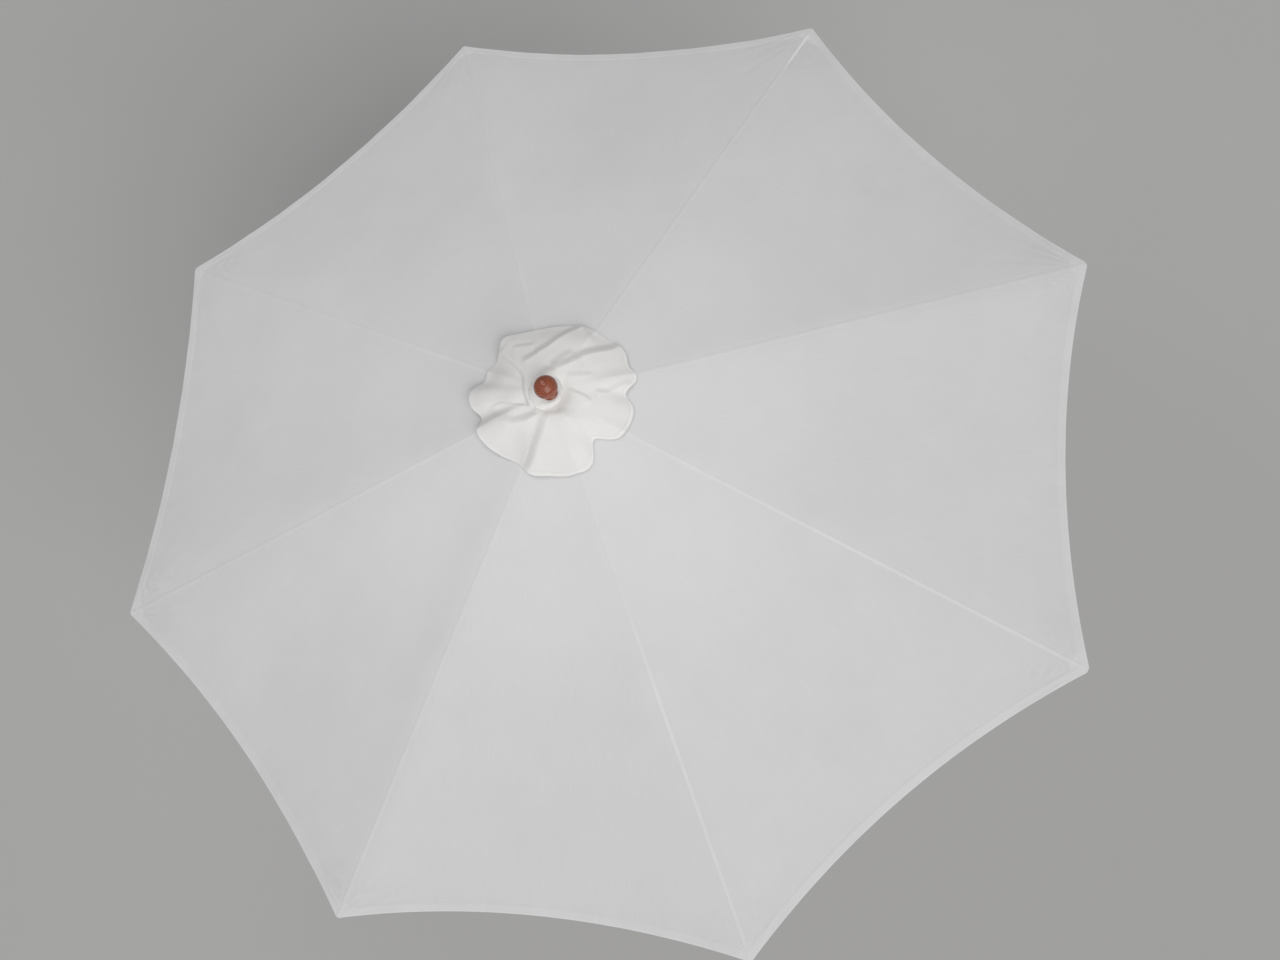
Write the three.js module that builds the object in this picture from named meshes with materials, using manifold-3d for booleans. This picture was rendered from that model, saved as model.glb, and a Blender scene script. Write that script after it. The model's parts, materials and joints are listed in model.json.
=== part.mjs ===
// Wooden market umbrella, open: a two-piece pole, a slotted top hub with eight ribs, a sliding
// runner with eight struts, an eight-panel canopy with a wind vent, a gathered vent cap and a
// turned finial. Millimetres, +Z up, origin at the centre of the pole's foot, rib 1 along +X.

import * as THREE from 'three';
import { mergeVertices } from 'three/addons/utils/BufferGeometryUtils.js';
import Module from 'manifold-3d';

const wasm = await Module();
wasm.setup();

// ---- Driving dimensions ----
const RIB_COUNT = 8;
const RIM_RADIUS = 1350; // pole axis to a canopy corner
const CROWN_RISE = 386; // canopy corner up to the point where the panels' planes meet
const CROWN_Z = 2360;
const EDGE_HOLLOW = 50; // how far a free edge curves in from the straight line between corners
const PANEL_SAG = 14; // how far a panel hangs below its flat plane at its middle

const CLOTH = 2;
const SHEET_HAIR = 0.0004; // radians left free at each side of a sheet
const REST_GAP = 1.9; // crease of the cloth to the middle of the rib under it
const FIT_GAP = 0.3; // faces that touch on the real object

const POLE_RADIUS = 19;
const POLE_CHAMFER = 2;
const POLE_SPLIT_Z = 800;
const FERRULE_BORE = POLE_RADIUS + FIT_GAP;
const FERRULE_RADIUS = 21.5;
const FERRULE_BOTTOM = 730;
const FERRULE_TOP = 870;

const RIB_WIDTH = 16;
const RIB_DEPTH = 24;
const RIB_TIP_DEPTH = 15;
const RIB_TAPER = 90;
const RIB_TIP_ROUND = 3;
const RIB_END_GAP = 14; // end of the rib to the canopy's corner
const STRUT_WIDTH = 14;
const STRUT_DEPTH = 20;
const STRUT_LENGTH = 750; // pivot to pivot
const BRACKET_ALONG = 620; // hub pivot to strut pivot, along the rib
const BRACKET_DROP = 26; // strut pivot below the rib's middle line
const BRACKET_PLATE = 1.5;
const BRACKET_HALF = 16;
const BRACKET_EAR_RADIUS = 8;
const BRACKET_RISE = 5; // how far the ears reach above the rib's middle line
const PIN_RADIUS = 2.5;
const PIN_PROUD = 1.5;

const HUB_RADIUS = 60;
const HUB_PIVOT_RADIUS = 45;
const HUB_ABOVE = 20;
const HUB_BELOW = 26;
const HUB_SLOT_INNER = 30;
const RUNNER_RADIUS = 54;
const RUNNER_PIVOT_RADIUS = 40;
const RUNNER_ABOVE = 18;
const RUNNER_BELOW = 30;
const RUNNER_NECK_RADIUS = 28;
const RUNNER_SLEEVE = 26; // height of the neck below the runner's slotted part
const RUNNER_SLOT_INNER = 27;
const RUNNER_BORE = POLE_RADIUS + 0.8; // a free slide on the pole
const WIRE_RADIUS = 1.5;
const WIRE_HOLE = 2.8;
const GROOVE_HALF = 2.2;
const SLOT_SIDE = 0.7;
const SLOT_OVERRUN = 10; // how far a slot's cutter runs past the drum
const DRUM_CHAMFER = 4;

const STUD_RADIUS = 5;
const STUD_IN_POLE = 50;
const STUD_IN_FINIAL = 30;
const PLATE = 3; // the hub cap and the vent cap's centre are both this thick
const HUB_CAP_RADIUS = 56;
const CAP_CENTRE_RADIUS = 60;
const COLLAR_RADIUS = 43;
const COLLAR_HEIGHT = 12;
const FINIAL_RADIUS = 28.5;
const FINIAL_HEIGHT = 74;
const FINIAL_BALL_HALF = 27; // half the height of its flattened ball
const FINIAL_FOOT_RADIUS = 19;
const FINIAL_BUTTON_RADIUS = 8;
const FINIAL_BUTTON = 5; // height of the button

const VENT_RADIUS = 130; // opening in the canopy, under the vent cap
const CAP_INNER = 61;
const CAP_RADIUS = 196;
const CAP_INNER_Z = 2353;
const CAP_OUTER_Z = 2322;

const SCREW_RADIUS = 3;
const SCREW_KNOB_RADIUS = 10;
const SCREW_KNOB_LENGTH = 12;
const SCREW_SHANK = 12; // pole to the knob's near face
const SCREW_TURN = -0.375 * Math.PI; // azimuth of the clamp screw, midway between two ribs

// ---- Worked-out positions ----
const STEP = (2 * Math.PI) / RIB_COUNT;
const HALF = STEP / 2;
const FALL = CROWN_RISE / RIM_RADIUS;
const SLOPE = Math.atan(FALL);
const PANEL_FALL = FALL / Math.cos(HALF);
const RIB_BELOW = (CLOTH + REST_GAP + RIB_DEPTH / 2) / Math.cos(SLOPE);
const HUB_PIVOT_Z = CROWN_Z - HUB_PIVOT_RADIUS * FALL - RIB_BELOW;
const HUB_TOP = HUB_PIVOT_Z + HUB_ABOVE;
const RIB_LENGTH = (RIM_RADIUS - RIB_END_GAP - HUB_PIVOT_RADIUS) / Math.cos(SLOPE);
const STRUT_TOP_RADIUS =
  HUB_PIVOT_RADIUS + BRACKET_ALONG * Math.cos(SLOPE) - BRACKET_DROP * Math.sin(SLOPE);
const STRUT_TOP_Z =
  HUB_PIVOT_Z - BRACKET_ALONG * Math.sin(SLOPE) - BRACKET_DROP * Math.cos(SLOPE);
const STRUT_ANGLE = Math.acos((STRUT_TOP_RADIUS - RUNNER_PIVOT_RADIUS) / STRUT_LENGTH);
const RUNNER_Z = STRUT_TOP_Z - STRUT_LENGTH * Math.sin(STRUT_ANGLE);
const SCREW_Z = RUNNER_Z - RUNNER_BELOW - RUNNER_SLEEVE / 2;

// ---- Materials ----
const material = (color, roughness, metalness) =>
  new THREE.MeshStandardMaterial({ color, roughness, metalness });
const WOOD = () => material(0xa9744a, 0.5, 0);
const DARK_WOOD = () => material(0x8c4b37, 0.4, 0);
const CLOTH_WHITE = () => material(0xd4d3d3, 0.9, 0);
const CAP_WHITE = () => material(0xe1e0db, 0.9, 0);
const BRASS = () => material(0xb5904a, 0.35, 1);
const STEEL = () => material(0xa8a9ab, 0.35, 1);

// ---- Geometry helpers ----
const welded = (geometry) => {
  const bare = geometry.clone();
  bare.deleteAttribute('normal');
  bare.deleteAttribute('uv');
  return mergeVertices(bare, 1e-4);
};

const toSolid = (geometry) => {
  const mesh = welded(geometry);
  return new wasm.Manifold(new wasm.Mesh({
    numProp: 3,
    vertProperties: new Float32Array(mesh.attributes.position.array),
    triVerts: new Uint32Array(mesh.index.array),
  }));
};

const toGeometry = (manifold) => {
  const mesh = manifold.getMesh();
  const geometry = new THREE.BufferGeometry();
  geometry.setAttribute('position', new THREE.BufferAttribute(mesh.vertProperties, 3));
  geometry.setIndex(new THREE.BufferAttribute(mesh.triVerts, 1));
  geometry.computeVertexNormals();
  return geometry;
};

// Turns a closed outline of [radius, z] points, listed anticlockwise, about Z.
const turned = (outline, segments) => {
  const points = [...outline, outline[0]].map(([r, z]) => new THREE.Vector2(r, z));
  return new THREE.LatheGeometry(points, segments).rotateX(Math.PI / 2);
};

// A flat bar's side outline, given in length and height, made `width` thick about y = 0.
const barFrom = (shape, width, curveSegments = 6) =>
  new THREE.ExtrudeGeometry(shape, { depth: width, bevelEnabled: false, curveSegments })
    .translate(0, 0, -width / 2)
    .rotateX(Math.PI / 2);

const roundHole = (shape, x, y, radius) => {
  const hole = new THREE.Path();
  hole.absarc(x, y, radius, 0, 2 * Math.PI, true);
  shape.holes.push(hole);
};

const rod = (radius, low, high, segments = 32) =>
  new THREE.CylinderGeometry(radius, radius, high - low, segments)
    .rotateX(Math.PI / 2)
    .translate(0, 0, (low + high) / 2);

const ring = (inner, outer, low, high, segments = 32) =>
  turned([[inner, low], [outer, low], [outer, high], [inner, high]], segments);

// ---- Sheets: a closed slab under a height field in polar coordinates ----
// edge(angle) gives the outer radius and height(radius, angle) the top face; the slab spans one
// rib's share of the circle, less a hair on each side so that neighbours stay apart.
const sheet = (inner, edge, height, across, along) => {
  const span = HALF - SHEET_HAIR;
  const positions = [];
  const index = [];
  const row = along + 1;
  const layer = (across + 1) * row;
  for (const drop of [0, CLOTH]) {
    for (let i = 0; i <= across; i += 1) {
      const angle = span * ((2 * i) / across - 1);
      for (let j = 0; j <= along; j += 1) {
        const radius = inner + ((edge(angle) - inner) * j) / along;
        positions.push(radius * Math.cos(angle), radius * Math.sin(angle));
        positions.push(height(radius, angle) - drop);
      }
    }
  }
  const quad = (a, b, c, d) => index.push(a, b, c, a, c, d);
  for (let i = 0; i < across; i += 1) {
    for (let j = 0; j < along; j += 1) {
      const a = i * row + j;
      quad(a, a + 1, a + row + 1, a + row);
      quad(layer + a, layer + a + row, layer + a + row + 1, layer + a + 1);
    }
  }
  for (let j = 0; j < along; j += 1) {
    const far = across * row + j;
    quad(j, layer + j, layer + j + 1, j + 1);
    quad(far, far + 1, layer + far + 1, layer + far);
  }
  for (let i = 0; i < across; i += 1) {
    const near = i * row;
    const out = near + along;
    quad(near, near + row, layer + near + row, layer + near);
    quad(out, layer + out, layer + out + row, out + row);
  }
  const geometry = new THREE.BufferGeometry();
  geometry.setAttribute('position', new THREE.Float32BufferAttribute(positions, 3));
  geometry.setIndex(index);
  geometry.computeVertexNormals();
  return geometry;
};

// The straight line between two corners, pulled in by EDGE_HOLLOW at the panel's middle.
const canopyEdge = (angle) => {
  const fromMiddle = HALF - Math.abs(angle);
  const chord = (RIM_RADIUS * Math.cos(HALF)) / Math.cos(fromMiddle);
  const share = Math.tan(fromMiddle) / Math.tan(HALF);
  return chord - EDGE_HOLLOW * (1 - share * share);
};

// Each panel is flat between its two straight ribs but for a slight sag in its middle.
const canopyHeight = (radius, angle) => {
  const fromMiddle = HALF - Math.abs(angle);
  const flat = CROWN_Z - radius * Math.cos(fromMiddle) * PANEL_FALL;
  const share = fromMiddle / HALF;
  return flat - PANEL_SAG * (radius / RIM_RADIUS) * (1 - share * share);
};

const capHeight = (radius) => {
  const share = (radius - CAP_INNER) / (CAP_RADIUS - CAP_INNER);
  return CAP_INNER_Z + (CAP_OUTER_Z - CAP_INNER_Z) * share;
};

// ---- Turned wooden hub or runner: a drum with a bore, a wire groove and radial slots ----
const slottedDrum = (size) => {
  const { bore, radius, low, high, pivotRadius, pivotZ, slotWidth, slotInner, neck } = size;
  const base = neck ? [[bore, neck.low], [neck.radius, neck.low], [neck.radius, low]] : [[bore, low]];
  const outline = [
    ...base,
    [radius - DRUM_CHAMFER, low],
    [radius, low + DRUM_CHAMFER],
    [radius, high - DRUM_CHAMFER],
    [radius - DRUM_CHAMFER, high],
    [pivotRadius + GROOVE_HALF, high],
    [pivotRadius + GROOVE_HALF, pivotZ - GROOVE_HALF],
    [pivotRadius - GROOVE_HALF, pivotZ - GROOVE_HALF],
    [pivotRadius - GROOVE_HALF, high],
    [bore, high],
  ];
  let drum = toSolid(turned(outline, 40));
  const reach = radius + SLOT_OVERRUN - slotInner;
  for (let k = 0; k < RIB_COUNT; k += 1) {
    const slot = new THREE.BoxGeometry(reach, slotWidth, high - low + 2 * SLOT_OVERRUN)
      .translate(slotInner + reach / 2, 0, (low + high) / 2)
      .rotateZ(k * STEP);
    drum = drum.subtract(toSolid(slot));
  }
  if (neck) {
    const hole = rod(SCREW_RADIUS + FIT_GAP, 0, 2 * neck.radius, 12)
      .rotateY(Math.PI / 2)
      .rotateZ(SCREW_TURN)
      .translate(0, 0, SCREW_Z);
    drum = drum.subtract(toSolid(hole));
  }
  return toGeometry(drum);
};

// ---- Sub-parts ----
const lowerPole = () => {
  const high = POLE_SPLIT_Z;
  const r = POLE_RADIUS;
  return turned([[0, 0], [r - POLE_CHAMFER, 0], [r, POLE_CHAMFER], [r, high], [0, high]], 32);
};

const upperPole = () => {
  const low = POLE_SPLIT_Z + FIT_GAP;
  const high = HUB_TOP;
  const floor = high - STUD_IN_POLE - FIT_GAP;
  const bore = STUD_RADIUS + FIT_GAP;
  const r = POLE_RADIUS;
  return turned([[0, low], [r, low], [r, high], [bore, high], [bore, floor], [0, floor]], 32);
};

const ribBar = () => {
  const half = RIB_DEPTH / 2;
  const shape = new THREE.Shape();
  shape.moveTo(0, -half);
  shape.lineTo(RIB_LENGTH - RIB_TAPER, -half);
  shape.lineTo(RIB_LENGTH - RIB_TIP_ROUND, half - RIB_TIP_DEPTH);
  shape.lineTo(RIB_LENGTH, half - RIB_TIP_DEPTH + RIB_TIP_ROUND);
  shape.lineTo(RIB_LENGTH, half);
  shape.lineTo(0, half);
  shape.absarc(0, 0, half, Math.PI / 2, (3 * Math.PI) / 2, false);
  roundHole(shape, 0, 0, WIRE_HOLE);
  return barFrom(shape, RIB_WIDTH);
};

const strutBar = () => {
  const half = STRUT_DEPTH / 2;
  const shape = new THREE.Shape();
  shape.absarc(0, 0, half, Math.PI / 2, (3 * Math.PI) / 2, false);
  shape.absarc(STRUT_LENGTH, 0, half, -Math.PI / 2, Math.PI / 2, false);
  shape.closePath();
  roundHole(shape, 0, 0, PIN_RADIUS + FIT_GAP);
  roundHole(shape, STRUT_LENGTH, 0, WIRE_HOLE);
  return barFrom(shape, STRUT_WIDTH);
};

// A saddle under the rib: base plate, two ears down the rib's sides, and the strut's pin.
const ribBracket = () => {
  const inside = RIB_WIDTH / 2 + FIT_GAP;
  const under = -RIB_DEPTH / 2 - FIT_GAP;
  const overlap = 0.2;
  const plateDrop = 2;
  const shape = new THREE.Shape();
  shape.moveTo(-BRACKET_HALF, BRACKET_RISE);
  shape.lineTo(-BRACKET_HALF, under - plateDrop);
  shape.lineTo(-BRACKET_EAR_RADIUS, -BRACKET_DROP);
  shape.absarc(0, -BRACKET_DROP, BRACKET_EAR_RADIUS, Math.PI, 2 * Math.PI, false);
  shape.lineTo(BRACKET_HALF, under - plateDrop);
  shape.lineTo(BRACKET_HALF, BRACKET_RISE);
  shape.closePath();
  const ear = (side) => toSolid(barFrom(shape, BRACKET_PLATE, 5)
    .translate(0, side * (inside + BRACKET_PLATE / 2), 0));
  const width = 2 * (inside + overlap);
  const base = new THREE.BoxGeometry(2 * BRACKET_HALF - 1, width, BRACKET_PLATE)
    .translate(0, 0, under - BRACKET_PLATE / 2);
  const pinHalf = inside + BRACKET_PLATE + PIN_PROUD;
  const pin = new THREE.CylinderGeometry(PIN_RADIUS, PIN_RADIUS, 2 * pinHalf, 10)
    .translate(0, 0, -BRACKET_DROP);
  return toGeometry(ear(1).add(ear(-1)).add(toSolid(base)).add(toSolid(pin)));
};

// A flattened ball on a short waisted foot, a small button on top, and a blind hole for the stud.
const finial = (low) => {
  const bore = STUD_RADIUS + FIT_GAP;
  const floor = low + STUD_IN_FINIAL + FIT_GAP;
  const ballZ = low + FINIAL_HEIGHT - FINIAL_BUTTON - 1 - FINIAL_BALL_HALF;
  const foot = FINIAL_FOOT_RADIUS;
  const waistZ = low + 8;
  const outline = [[bore, low], [foot - 1, low], [foot, low + 2], [foot - 1, low + 6], [foot - 6, waistZ]];
  const steps = 12;
  for (let i = 1; i < steps; i += 1) {
    const a = -Math.PI / 2 + (Math.PI * i) / steps;
    const r = FINIAL_RADIUS * Math.cos(a);
    const z = ballZ + FINIAL_BALL_HALF * Math.sin(a);
    if (r > FINIAL_BUTTON_RADIUS + 1 && z > waistZ + 1) outline.push([r, z]);
  }
  const buttonZ = low + FINIAL_HEIGHT - FINIAL_BUTTON;
  const top = low + FINIAL_HEIGHT;
  outline.push([FINIAL_BUTTON_RADIUS, buttonZ], [FINIAL_BUTTON_RADIUS - 1, top - 2]);
  outline.push([FINIAL_BUTTON_RADIUS / 2, top], [0, top], [0, floor], [bore, floor]);
  return turned(outline, 28);
};

// Along +X from the pole's side: a shank, then a waisted knob.
const clampScrew = () => {
  const start = POLE_RADIUS + FIT_GAP;
  const knob = start + SCREW_SHANK;
  const end = knob + SCREW_KNOB_LENGTH;
  const r = SCREW_RADIUS;
  const wide = SCREW_KNOB_RADIUS;
  const waist = wide - 3;
  const outline = [
    [0, start], [r - 1, start], [r, start + 1], [r, knob], [waist, knob],
    [waist + 1, knob + SCREW_KNOB_LENGTH / 3], [wide, end - SCREW_KNOB_LENGTH / 2],
    [wide, end - 2], [wide - 2, end], [0, end],
  ];
  return turned(outline, 20).rotateY(Math.PI / 2);
};

// ---- Assembly ----
const group = new THREE.Group();
const place = (parent, name, geometry, surface) => {
  const mesh = new THREE.Mesh(geometry, surface);
  mesh.name = name;
  parent.add(mesh);
  return mesh;
};

place(group, 'lower_pole', lowerPole(), WOOD());
place(group, 'upper_pole', upperPole(), WOOD());
place(group, 'pole_ferrule',
  ring(FERRULE_BORE, FERRULE_RADIUS, FERRULE_BOTTOM, FERRULE_TOP), BRASS());

place(group, 'top_hub', slottedDrum({
  bore: POLE_RADIUS + FIT_GAP,
  radius: HUB_RADIUS,
  low: HUB_PIVOT_Z - HUB_BELOW,
  high: HUB_TOP,
  pivotRadius: HUB_PIVOT_RADIUS,
  pivotZ: HUB_PIVOT_Z,
  slotWidth: RIB_WIDTH + 2 * SLOT_SIDE,
  slotInner: HUB_SLOT_INNER,
}), DARK_WOOD());
const hubRing = new THREE.TorusGeometry(HUB_PIVOT_RADIUS, WIRE_RADIUS, 6, 40);
place(group, 'hub_ring', hubRing, STEEL()).position.z = HUB_PIVOT_Z;

place(group, 'runner', slottedDrum({
  bore: RUNNER_BORE,
  radius: RUNNER_RADIUS,
  low: RUNNER_Z - RUNNER_BELOW,
  high: RUNNER_Z + RUNNER_ABOVE,
  pivotRadius: RUNNER_PIVOT_RADIUS,
  pivotZ: RUNNER_Z,
  slotWidth: STRUT_WIDTH + 2 * SLOT_SIDE,
  slotInner: RUNNER_SLOT_INNER,
  neck: { radius: RUNNER_NECK_RADIUS, low: RUNNER_Z - RUNNER_BELOW - RUNNER_SLEEVE },
}), DARK_WOOD());
const runnerRing = new THREE.TorusGeometry(RUNNER_PIVOT_RADIUS, WIRE_RADIUS, 6, 40);
place(group, 'runner_ring', runnerRing, STEEL()).position.z = RUNNER_Z;
const screw = place(group, 'clamp_screw', clampScrew(), BRASS());
screw.position.z = SCREW_Z;
screw.rotation.z = SCREW_TURN;

const hubCapZ = HUB_TOP + FIT_GAP;
const capCentreZ = hubCapZ + PLATE + FIT_GAP;
const collarZ = capCentreZ + PLATE + FIT_GAP;
const finialZ = collarZ + COLLAR_HEIGHT + FIT_GAP;
const studBore = STUD_RADIUS + FIT_GAP;
place(group, 'hub_cap', ring(studBore, HUB_CAP_RADIUS, hubCapZ, hubCapZ + PLATE), DARK_WOOD());
place(group, 'vent_cap_centre',
  ring(studBore, CAP_CENTRE_RADIUS, capCentreZ, capCentreZ + PLATE), CAP_WHITE());
place(group, 'finial_collar', ring(studBore, COLLAR_RADIUS, collarZ, collarZ + COLLAR_HEIGHT), CAP_WHITE());
const stud = rod(STUD_RADIUS, HUB_TOP - STUD_IN_POLE, finialZ + STUD_IN_FINIAL, 16);
place(group, 'finial_stud', stud, STEEL());
place(group, 'finial', finial(finialZ), DARK_WOOD());

for (let k = 0; k < RIB_COUNT; k += 1) {
  const sector = new THREE.Group();
  sector.rotation.z = k * STEP;
  group.add(sector);
  const number = k + 1;

  const arm = new THREE.Group();
  arm.position.set(HUB_PIVOT_RADIUS, 0, HUB_PIVOT_Z);
  arm.rotation.y = SLOPE;
  sector.add(arm);
  place(arm, `rib_${number}`, ribBar(), WOOD());
  place(arm, `rib_bracket_${number}`, ribBracket(), BRASS()).position.x = BRACKET_ALONG;

  const strut = place(sector, `strut_${number}`, strutBar(), WOOD());
  strut.position.set(STRUT_TOP_RADIUS, 0, STRUT_TOP_Z);
  strut.rotation.y = Math.PI - STRUT_ANGLE;

  place(sector, `canopy_gore_${number}`,
    sheet(VENT_RADIUS, canopyEdge, canopyHeight, 10, 6), CLOTH_WHITE());
  place(sector, `vent_cap_gore_${number}`,
    sheet(CAP_INNER, () => CAP_RADIUS, capHeight, 4, 2), CAP_WHITE());
}

export default group;
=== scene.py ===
"""A wooden market umbrella, open: eight-panel canopy, gathered vent cap, turned finial and frame.
Metres, +Z up, the pole's foot at the origin, rib 1 along +X."""
import json
import math

import bmesh
import bpy
import numpy as np
from mathutils import Matrix, Vector


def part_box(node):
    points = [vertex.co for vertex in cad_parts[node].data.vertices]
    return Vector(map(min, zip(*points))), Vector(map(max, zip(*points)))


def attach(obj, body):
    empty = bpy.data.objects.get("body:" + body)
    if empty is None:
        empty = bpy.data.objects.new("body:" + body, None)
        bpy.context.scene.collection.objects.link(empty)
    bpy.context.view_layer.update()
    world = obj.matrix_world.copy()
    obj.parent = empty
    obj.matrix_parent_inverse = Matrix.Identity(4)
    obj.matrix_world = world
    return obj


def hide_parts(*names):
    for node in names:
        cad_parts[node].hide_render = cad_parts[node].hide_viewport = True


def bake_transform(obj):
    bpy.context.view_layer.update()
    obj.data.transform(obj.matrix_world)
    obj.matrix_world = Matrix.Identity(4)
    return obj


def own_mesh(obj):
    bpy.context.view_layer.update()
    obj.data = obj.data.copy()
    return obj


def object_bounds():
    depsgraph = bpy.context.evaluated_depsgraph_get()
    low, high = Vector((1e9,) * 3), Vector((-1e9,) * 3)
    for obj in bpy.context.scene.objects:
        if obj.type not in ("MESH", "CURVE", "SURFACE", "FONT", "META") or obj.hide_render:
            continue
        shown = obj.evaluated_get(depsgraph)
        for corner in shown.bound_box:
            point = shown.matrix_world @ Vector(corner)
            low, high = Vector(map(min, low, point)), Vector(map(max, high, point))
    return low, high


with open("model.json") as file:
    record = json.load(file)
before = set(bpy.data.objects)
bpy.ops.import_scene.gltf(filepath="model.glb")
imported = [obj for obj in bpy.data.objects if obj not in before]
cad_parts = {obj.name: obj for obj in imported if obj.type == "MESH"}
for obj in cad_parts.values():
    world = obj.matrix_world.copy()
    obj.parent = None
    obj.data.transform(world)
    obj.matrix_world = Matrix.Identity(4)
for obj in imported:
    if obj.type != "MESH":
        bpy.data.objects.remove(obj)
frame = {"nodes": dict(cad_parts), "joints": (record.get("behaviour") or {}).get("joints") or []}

cad_low, cad_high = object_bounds()
MM = 0.001

# ---- Sizes read from the frame ----
RIBS = 8
STEP = math.tau / RIBS
HALF = STEP / 2
COS, SIN = math.cos(HALF), math.sin(HALF)
CAD_CLOTH = 2 * MM
gore_low, gore_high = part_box("canopy_gore_1")
RIM = gore_high.x
RIM_Z = gore_low.z + CAD_CLOTH
VENT = gore_low.x / COS
FALL = (gore_high.z - RIM_Z) / (RIM - VENT)
CROWN_Z = RIM_Z + FALL * RIM
PANEL_FALL = FALL / COS
SLOPE = math.atan(FALL)
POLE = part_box("lower_pole")[1].x
joints = {joint["name"]: joint for joint in frame["joints"]}
hub_pivot = Vector(joints["rib_1_fold"]["pos_m"])
strut_pivot = Vector(joints["strut_1_fold"]["pos_m"])


def toward(azimuth, elevation):
    return Vector((math.cos(azimuth) * math.cos(elevation),
                   math.sin(azimuth) * math.cos(elevation), math.sin(elevation)))


# ---- Camera, at the photograph's angle ----
CAMERA_PLACE = Vector((-0.473, -0.919, 2.429))  # from the middle of the rim, in rim radii
CAMERA_AZIMUTH, CAMERA_ELEVATION, CAMERA_ROLL = map(math.radians, (-29.7, 69.4, -34.3))
LENS, SENSOR = 37.8, 36  # millimetres
CAMERA_SEES = 100


def put(name, data):
    thing = bpy.data.objects.new(name, data)
    bpy.context.scene.collection.objects.link(thing)
    return thing


def camera():
    across = toward(CAMERA_AZIMUTH, 0)
    back = toward(CAMERA_AZIMUTH - math.pi / 2, CAMERA_ELEVATION)
    turn = Matrix((across, back.cross(across), back)).transposed()
    turn = turn @ Matrix.Rotation(CAMERA_ROLL, 3, "Z")
    place = Vector((0, 0, RIM_Z)) + RIM * CAMERA_PLACE
    data = bpy.data.cameras.new("camera")
    data.lens = LENS
    data.sensor_width = SENSOR
    data.clip_end = CAMERA_SEES
    body = put("camera", data)
    body.matrix_world = Matrix.Translation(place) @ turn.to_4x4()
    bpy.context.scene.camera = body


camera()


# ---- Materials ----
class Nodes:
    """A material's node tree, with short calls for the nodes that this scene uses."""

    def __init__(self, name):
        self.material = bpy.data.materials.new(name)
        self.material.use_nodes = True
        self.tree = self.material.node_tree
        self.shader = self.tree.nodes["Principled BSDF"]

    def feed(self, target, value):
        """Gives an input a number, a vector, a colour or another node's output."""
        if isinstance(value, bpy.types.NodeSocket):
            self.tree.links.new(value, target)
        else:
            target.default_value = (*value, 1) if target.type == "RGBA" else value

    def add(self, kind, inputs, output=0, **settings):
        """Adds a node and returns one of its outputs."""
        node = self.tree.nodes.new("ShaderNode" + kind)
        for key, value in settings.items():
            setattr(node, key, value)
        for key, value in inputs.items():
            self.feed(node.inputs[key], value)
        return node.outputs[output]

    def attribute(self, name):
        return self.add("Attribute", {}, "Vector", attribute_name=name)

    def scaled(self, vector, scale):
        return self.add("VectorMath", {0: vector, 1: scale}, operation="MULTIPLY")

    def noise(self, vector, scale, detail=4, roughness=0.55):
        return self.add("TexNoise", {"Vector": vector, "Scale": scale, "Detail": detail,
                                     "Roughness": roughness}, "Fac")

    def wave(self, vector, kind, direction, distortion, detail):
        turned = {kind.lower() + "_direction": direction}
        return self.add("TexWave", {"Vector": vector, "Scale": 1.0, "Distortion": distortion,
                                    "Detail": detail}, "Fac", wave_type=kind, **turned)

    def math(self, operation, *values):
        return self.add("Math", dict(enumerate(values)), operation=operation)

    def times(self, a, b):
        return self.math("MULTIPLY", a, b)

    def total(self, *terms):
        """The sum of several values, each times its own share."""
        result = 0.0
        for value, share in terms:
            result = self.math("ADD", self.times(value, share), result)
        return result

    def span(self, value, low, high, to_low=0.0, to_high=1.0):
        return self.add("MapRange", {"Value": value, "From Min": low, "From Max": high,
                                     "To Min": to_low, "To Max": to_high}, "Result",
                        interpolation_type="SMOOTHSTEP")

    def mix(self, share, a, b):
        return self.add("Mix", {"Factor": share, MIX_A: a, MIX_B: b}, MIX_RESULT,
                        data_type="RGBA")

    def part(self, vector, axis):
        return self.add("SeparateXYZ", {0: vector}, axis)

    def bump(self, height, distance, strength):
        return self.add("Bump", {"Height": height, "Distance": distance, "Strength": strength},
                        "Normal")

    def finish(self, inputs):
        for key, value in inputs.items():
            self.feed(self.shader.inputs[key], value)
        return self.material


MIX_A, MIX_B, MIX_RESULT = 6, 7, 2  # a mix node's sockets for colours
WAVE_PITCH = math.tau / 20  # a wave texture's bands repeat at this step of its vector
THREAD = 0.9 * MM  # pitch of the canvas weave
STITCH = 3.4 * MM
STITCH_SHARE = 0.68  # how much of that the stitch takes; the rest is its hole
STITCH_HALF = (0.3 * MM, 0.9 * MM)  # half the stitch's width, full and with its soft sides
STITCH_COLOUR = (0.90, 0.90, 0.89)
SEAM_HALF = 4.6 * MM
PATCH = 42 * MM  # doubled cloth at a corner
EASE = 0.8 * MM
LAYERS = 1.09  # how much lighter pressed, doubled cloth looks than a single layer
HEM_SHOWS = 0.35  # how much of that shows in the hem, past its bright folded edge
PATCH_SHOWS = 0.5  # and in a corner's patch
HEM_FOLD = 4 * MM
FAR = 1.0  # metres, where a fact has no seam or corner near


def shaded(colour, share):
    return tuple(min(1, share * value) for value in colour)


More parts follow.
